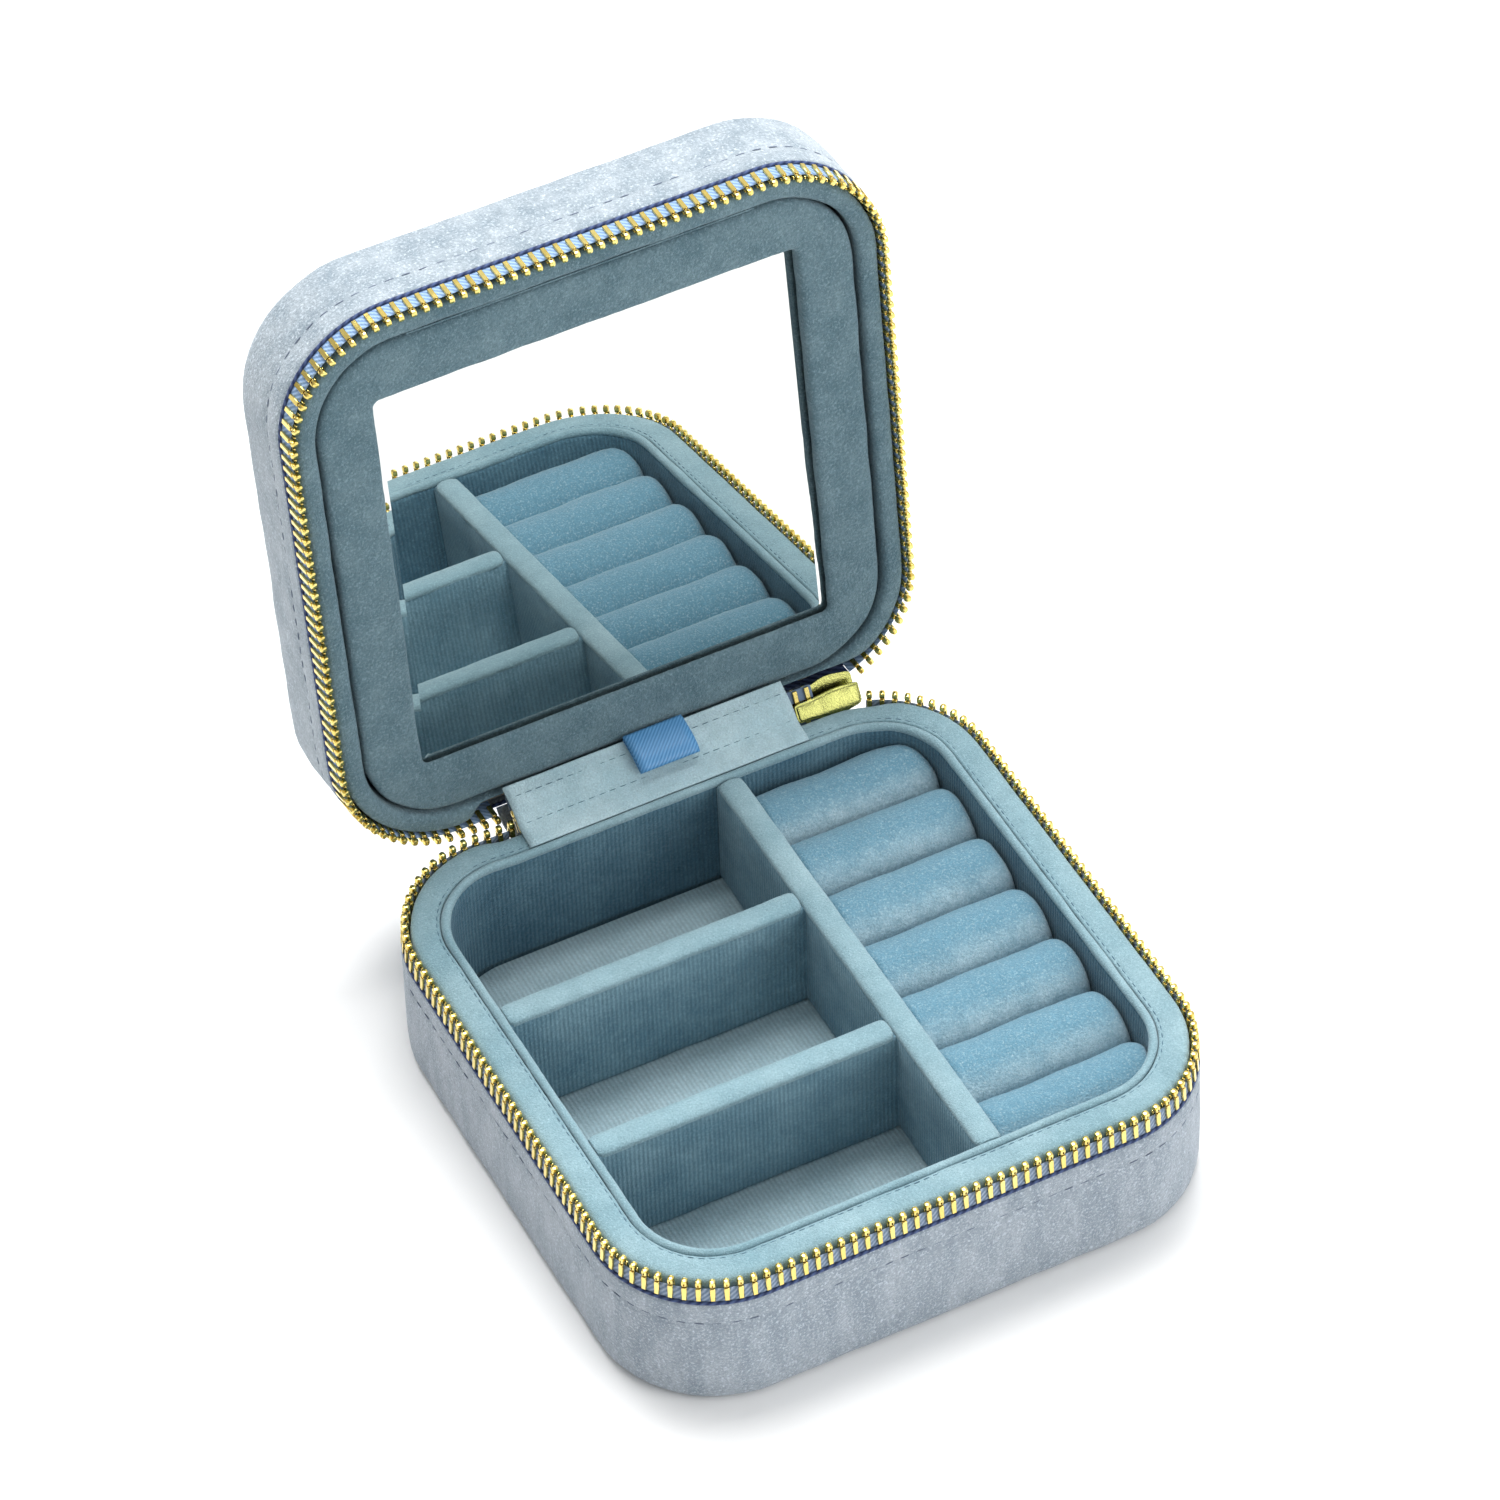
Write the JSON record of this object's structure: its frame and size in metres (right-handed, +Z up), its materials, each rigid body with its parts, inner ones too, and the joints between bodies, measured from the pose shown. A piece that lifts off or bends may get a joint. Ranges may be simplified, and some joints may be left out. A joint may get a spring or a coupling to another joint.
{
  "type": "travel jewelry case",
  "caption": "Square zipped velvet case with compartments, padded ring rolls and a mirror panel in the hinged lid.",
  "frame": {"origin": "middle of the base's underside, on the surface that the case stands on", "axes": "+Z up, +X along the hinge towards the zip slider, -Y towards the side that opens"},
  "size_m": [0.0976, 0.1293, 0.1218],
  "materials": {
    "outer_velvet": "short outer velvet, lavender blue-grey",
    "shell_board": "stiff grey fibre board",
    "rim_suede": "pale aqua suede",
    "tray_velvet": "teal velvet with fine upright ribs",
    "floor_suede": "plain teal suede",
    "divider_suede": "padded aqua suede",
    "roll_velvet": "plush aqua velvet",
    "foam": "light open-cell foam",
    "zip_tape": "periwinkle twill tape",
    "gold_teeth": "polished gold plate",
    "gold_slider": "satin gold plate",
    "hinge_cloth": "thin suede cloth",
    "mirror_suede": "mid grey-teal padded suede",
    "mirror": "silvered glass",
    "ribbon": "blue satin ribbon",
    "magnet": "nickel plate",
    "keeper_steel": "bare steel"
  },
  "bodies": {
    "base": {"base_bottom_panel": "outer_velvet", "base_side_band": "outer_velvet", "base_shell_board": "shell_board", "base_liner_rim": "rim_suede", "tray_wall": "tray_velvet", "tray_floor": "floor_suede", "divider_long": "divider_suede", "divider_cross_front": "divider_suede", "divider_cross_rear": "divider_suede", "ring_bed": "shell_board", "ring_roll_cores": "foam", "base_zip_tape": "zip_tape", "base_zip_teeth": "gold_teeth", "hinge_gusset": "hinge_cloth", "hinge_spine": "outer_velvet", "ring_roll_1": "roll_velvet", "ring_roll_2": "roll_velvet", "ring_roll_3": "roll_velvet", "ring_roll_4": "roll_velvet", "ring_roll_5": "roll_velvet", "ring_roll_6": "roll_velvet", "ring_roll_7": "roll_velvet"},
    "lid": {"lid_top_panel": "outer_velvet", "lid_side_band": "outer_velvet", "lid_shell_board": "shell_board", "lid_liner_rim": "mirror_suede", "lid_lining": "mirror_suede", "lid_zip_tape": "zip_tape", "lid_zip_teeth": "gold_teeth", "lid_zip_teeth_by_hinge": "gold_teeth", "panel_hinge_tape": "hinge_cloth", "keeper_post": "keeper_steel"},
    "mirror_panel": {"mirror_frame": "mirror_suede", "mirror_glass": "mirror", "mirror_backboard": "mirror_suede", "panel_magnet": "magnet", "ribbon_tab": "ribbon"},
    "zip_end_left": {"zip_chain_left": "gold_teeth", "zip_end_tapes_left": "zip_tape", "zip_stop_box": "gold_slider"},
    "zip_end_right": {"zip_chain_right": "gold_teeth", "zip_end_tapes_right": "zip_tape"},
    "zip_slider": {"slider_body": "gold_slider"},
    "pull_link": {"pull_link": "gold_slider"},
    "pull_tab": {"pull_tab": "gold_slider"}
  },
  "joints": [
    {"name": "lid_hinge", "type": "hinge", "parent": "base", "child": "lid", "pos_m": [0, 0.04967, 0.0236], "axis": [-1, 0, 0], "range_deg": [-96, 0], "deforming": ["hinge_gusset", "hinge_spine", "ribbon_tab", "lid_zip_teeth_by_hinge"]},
    {"name": "panel_hinge", "type": "hinge", "parent": "lid", "child": "mirror_panel", "pos_m": [0, 0.06216, 0.11657], "axis": [-1, 0, 0], "range_deg": [0, 80]},
    {"name": "zip_end_left_turn", "type": "hinge", "parent": "base", "child": "zip_end_left", "pos_m": [0, 0.04967, 0.0236], "axis": [-1, 0, 0], "range_deg": [-48, 0]},
    {"name": "zip_end_right_turn", "type": "hinge", "parent": "base", "child": "zip_end_right", "pos_m": [0, 0.04967, 0.0236], "axis": [-1, 0, 0], "range_deg": [-30, 0]},
    {"name": "slider_slide", "type": "slide", "parent": "zip_end_right", "child": "zip_slider", "axis": [-1, 0, 0], "range_m": [0, 0.003]},
    {"name": "link_swing", "type": "hinge", "parent": "zip_slider", "child": "pull_link", "pos_m": [0.0307, 0.05223, 0.02408], "axis": [1, 0, 0], "range_deg": [-5, 35]},
    {"name": "tab_swing", "type": "hinge", "parent": "pull_link", "child": "pull_tab", "pos_m": [0.0307, 0.05223, 0.02201], "axis": [1, 0, 0], "range_deg": [-8, 18]}
  ],
  "couplings": [
    {"joint": "zip_end_left_turn", "follows": "lid_hinge", "ratio": 0.5},
    {"joint": "zip_end_right_turn", "follows": "lid_hinge", "ratio": 0.3125}
  ]
}
